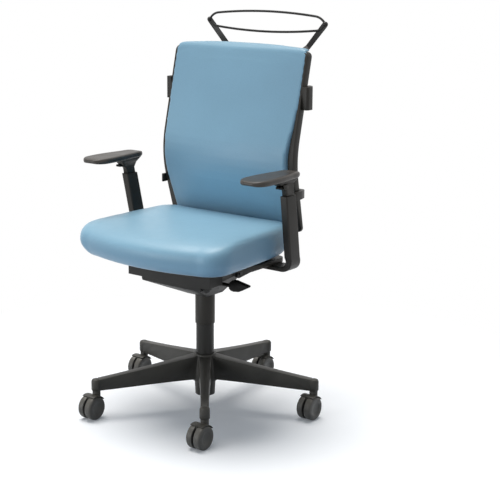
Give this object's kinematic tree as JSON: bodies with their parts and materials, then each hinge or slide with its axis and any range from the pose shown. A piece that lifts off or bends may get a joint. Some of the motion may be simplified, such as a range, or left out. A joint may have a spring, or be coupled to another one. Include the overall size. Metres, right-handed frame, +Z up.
{
  "type": "high back office chair",
  "caption": "High back swivel office chair with a padded pale blue seat and back, height adjustable arms, star base on casters and a coat hanger behind the back.",
  "frame": {"origin": "on the floor, on the axis of the column", "axes": "+Z up; the sitter faces -Y; +X is the sitter's left"},
  "size_m": [0.6303, 0.6307, 1.0759],
  "materials": {
    "moulded_black": "fine grained dark grey moulded plastic",
    "cast_black": "black powder coated casting",
    "black_steel": "satin black paint on steel",
    "bare_steel": "zinc plated steel",
    "wheel_plastic": "smooth hard grey black plastic",
    "arm_pad_soft": "soft skinned foam",
    "upholstery": "smooth pale blue upholstery"
  },
  "bodies": {
    "base": {"star_base": "moulded_black", "lift_tube": "black_steel", "lift_bush": "moulded_black", "thrust_bearing": "bare_steel"},
    "caster_1": {"caster_1_housing": "moulded_black", "caster_1_stem": "bare_steel", "caster_1_axle": "bare_steel"},
    "caster_1_wheel_left_body": {"caster_1_wheel_left": "wheel_plastic"},
    "caster_1_wheel_right_body": {"caster_1_wheel_right": "wheel_plastic"},
    "caster_2": {"caster_2_housing": "moulded_black", "caster_2_stem": "bare_steel", "caster_2_axle": "bare_steel"},
    "caster_2_wheel_left_body": {"caster_2_wheel_left": "wheel_plastic"},
    "caster_2_wheel_right_body": {"caster_2_wheel_right": "wheel_plastic"},
    "caster_3": {"caster_3_housing": "moulded_black", "caster_3_stem": "bare_steel", "caster_3_axle": "bare_steel"},
    "caster_3_wheel_left_body": {"caster_3_wheel_left": "wheel_plastic"},
    "caster_3_wheel_right_body": {"caster_3_wheel_right": "wheel_plastic"},
    "caster_4": {"caster_4_housing": "moulded_black", "caster_4_stem": "bare_steel", "caster_4_axle": "bare_steel"},
    "caster_4_wheel_left_body": {"caster_4_wheel_left": "wheel_plastic"},
    "caster_4_wheel_right_body": {"caster_4_wheel_right": "wheel_plastic"},
    "caster_5": {"caster_5_housing": "moulded_black", "caster_5_stem": "bare_steel", "caster_5_axle": "bare_steel"},
    "caster_5_wheel_left_body": {"caster_5_wheel_left": "wheel_plastic"},
    "caster_5_wheel_right_body": {"caster_5_wheel_right": "wheel_plastic"},
    "lift_rod": {"piston_rod": "bare_steel", "rod_clip": "bare_steel"},
    "mechanism": {"gas_cylinder": "bare_steel", "column_sleeve": "moulded_black", "mechanism_housing": "cast_black", "recline_shaft": "bare_steel", "recline_springs": "bare_steel", "seat_pivot_pin": "bare_steel", "lever_pin": "bare_steel"},
    "valve": {"valve_pin": "bare_steel"},
    "height_lever_body": {"height_lever": "moulded_black"},
    "lock_lever_body": {"lock_lever": "moulded_black"},
    "seat": {"seat_frame": "cast_black", "seat_pan": "moulded_black", "seat_cushion": "upholstery", "seat_screws": "bare_steel", "arm_bracket_left": "moulded_black", "arm_bracket_right": "moulded_black", "arm_bolts": "bare_steel"},
    "back": {"back_bar": "cast_black", "back_frame": "moulded_black", "back_shell": "moulded_black", "back_cushion": "upholstery", "back_bolts": "bare_steel", "coat_hanger": "black_steel"},
    "arm_left": {"arm_post_left": "moulded_black", "arm_pad_left": "arm_pad_soft"},
    "trigger_left": {"arm_trigger_left": "moulded_black"},
    "arm_right": {"arm_post_right": "moulded_black", "arm_pad_right": "arm_pad_soft"},
    "trigger_right": {"arm_trigger_right": "moulded_black"}
  },
  "joints": [
    {"name": "caster_1_swivel", "type": "hinge", "parent": "base", "child": "caster_1", "pos_m": [0.19162, -0.24177, 0.075], "axis": [0, 0, 1], "continuous": true},
    {"name": "caster_1_roll_left", "type": "hinge", "parent": "caster_1", "child": "caster_1_wheel_left_body", "pos_m": [0.19162, -0.26177, 0.032], "axis": [1, 0, 0], "continuous": true},
    {"name": "caster_1_roll_right", "type": "hinge", "parent": "caster_1", "child": "caster_1_wheel_right_body", "pos_m": [0.19162, -0.26177, 0.032], "axis": [1, 0, 0], "continuous": true},
    {"name": "caster_2_swivel", "type": "hinge", "parent": "base", "child": "caster_2", "pos_m": [0.28915, 0.10753, 0.075], "axis": [0, 0, 1], "continuous": true},
    {"name": "caster_2_roll_left", "type": "hinge", "parent": "caster_2", "child": "caster_2_wheel_left_body", "pos_m": [0.28915, 0.08753, 0.032], "axis": [1, 0, 0], "continuous": true},
    {"name": "caster_2_roll_right", "type": "hinge", "parent": "caster_2", "child": "caster_2_wheel_right_body", "pos_m": [0.28915, 0.08753, 0.032], "axis": [1, 0, 0], "continuous": true},
    {"name": "caster_3_swivel", "type": "hinge", "parent": "base", "child": "caster_3", "pos_m": [-0.01292, 0.30823, 0.075], "axis": [0, 0, 1], "continuous": true},
    {"name": "caster_3_roll_left", "type": "hinge", "parent": "caster_3", "child": "caster_3_wheel_left_body", "pos_m": [-0.01292, 0.28823, 0.032], "axis": [1, 0, 0], "continuous": true},
    {"name": "caster_3_roll_right", "type": "hinge", "parent": "caster_3", "child": "caster_3_wheel_right_body", "pos_m": [-0.01292, 0.28823, 0.032], "axis": [1, 0, 0], "continuous": true},
    {"name": "caster_4_swivel", "type": "hinge", "parent": "base", "child": "caster_4", "pos_m": [-0.29714, 0.08296, 0.075], "axis": [0, 0, 1], "continuous": true},
    {"name": "caster_4_roll_left", "type": "hinge", "parent": "caster_4", "child": "caster_4_wheel_left_body", "pos_m": [-0.29714, 0.06296, 0.032], "axis": [1, 0, 0], "continuous": true},
    {"name": "caster_4_roll_right", "type": "hinge", "parent": "caster_4", "child": "caster_4_wheel_right_body", "pos_m": [-0.29714, 0.06296, 0.032], "axis": [1, 0, 0], "continuous": true},
    {"name": "caster_5_swivel", "type": "hinge", "parent": "base", "child": "caster_5", "pos_m": [-0.17072, -0.25696, 0.075], "axis": [0, 0, 1], "continuous": true},
    {"name": "caster_5_roll_left", "type": "hinge", "parent": "caster_5", "child": "caster_5_wheel_left_body", "pos_m": [-0.17072, -0.27696, 0.032], "axis": [1, 0, 0], "continuous": true},
    {"name": "caster_5_roll_right", "type": "hinge", "parent": "caster_5", "child": "caster_5_wheel_right_body", "pos_m": [-0.17072, -0.27696, 0.032], "axis": [1, 0, 0], "continuous": true},
    {"name": "seat_swivel", "type": "hinge", "parent": "base", "child": "lift_rod", "pos_m": [0, 0, 0.05], "axis": [0, 0, 1], "continuous": true},
    {"name": "seat_lift", "type": "slide", "parent": "lift_rod", "child": "mechanism", "axis": [0, 0, 1], "range_m": [-0.085, 0]},
    {"name": "height_lever_lift", "type": "hinge", "parent": "mechanism", "child": "height_lever_body", "pos_m": [-0.05, 0, 0.3803], "axis": [0, 1, 0], "range_deg": [0, 5.5], "stiffness_Nm_per_rad": 2, "springref_deg": -14.32},
    {"name": "valve_press", "type": "slide", "parent": "mechanism", "child": "valve", "axis": [0, 0, -1], "range_m": [0, 0.0049], "stiffness_N_per_m": 800, "springref_m": -0.004},
    {"name": "tilt_lock_turn", "type": "hinge", "parent": "mechanism", "child": "lock_lever_body", "pos_m": [0.1, -0.06, 0.376], "axis": [1, 0, 0], "range_deg": [0, 35]},
    {"name": "recline", "type": "hinge", "parent": "mechanism", "child": "back", "pos_m": [0, 0.056, 0.378], "axis": [-1, 0, 0], "range_deg": [0, 20], "stiffness_Nm_per_rad": 150, "springref_deg": -11.46},
    {"name": "seat_tilt", "type": "hinge", "parent": "mechanism", "child": "seat", "pos_m": [0, -0.125, 0.379], "axis": [-1, 0, 0], "range_deg": [0, 6]},
    {"name": "arm_height_left", "type": "slide", "parent": "seat", "child": "arm_left", "axis": [0.0445, -0.1906, 0.9807], "range_m": [-0.014, 0.06]},
    {"name": "arm_trigger_left_squeeze", "type": "hinge", "parent": "arm_left", "child": "trigger_left", "pos_m": [0.27324, -0.02898, 0.6503], "axis": [-1, 0, 0], "range_deg": [0, 6], "stiffness_Nm_per_rad": 0.3, "springref_deg": -14.32},
    {"name": "arm_height_right", "type": "slide", "parent": "seat", "child": "arm_right", "axis": [-0.0445, -0.1906, 0.9807], "range_m": [-0.014, 0.06]},
    {"name": "arm_trigger_right_squeeze", "type": "hinge", "parent": "arm_right", "child": "trigger_right", "pos_m": [-0.27324, -0.02898, 0.6503], "axis": [-1, 0, 0], "range_deg": [0, 6], "stiffness_Nm_per_rad": 0.3, "springref_deg": -14.32}
  ],
  "couplings": [
    {"joint": "seat_tilt", "follows": "recline", "ratio": 0.3},
    {"joint": "valve_press", "follows": "height_lever_lift", "m_per_rad": 0.05}
  ]
}
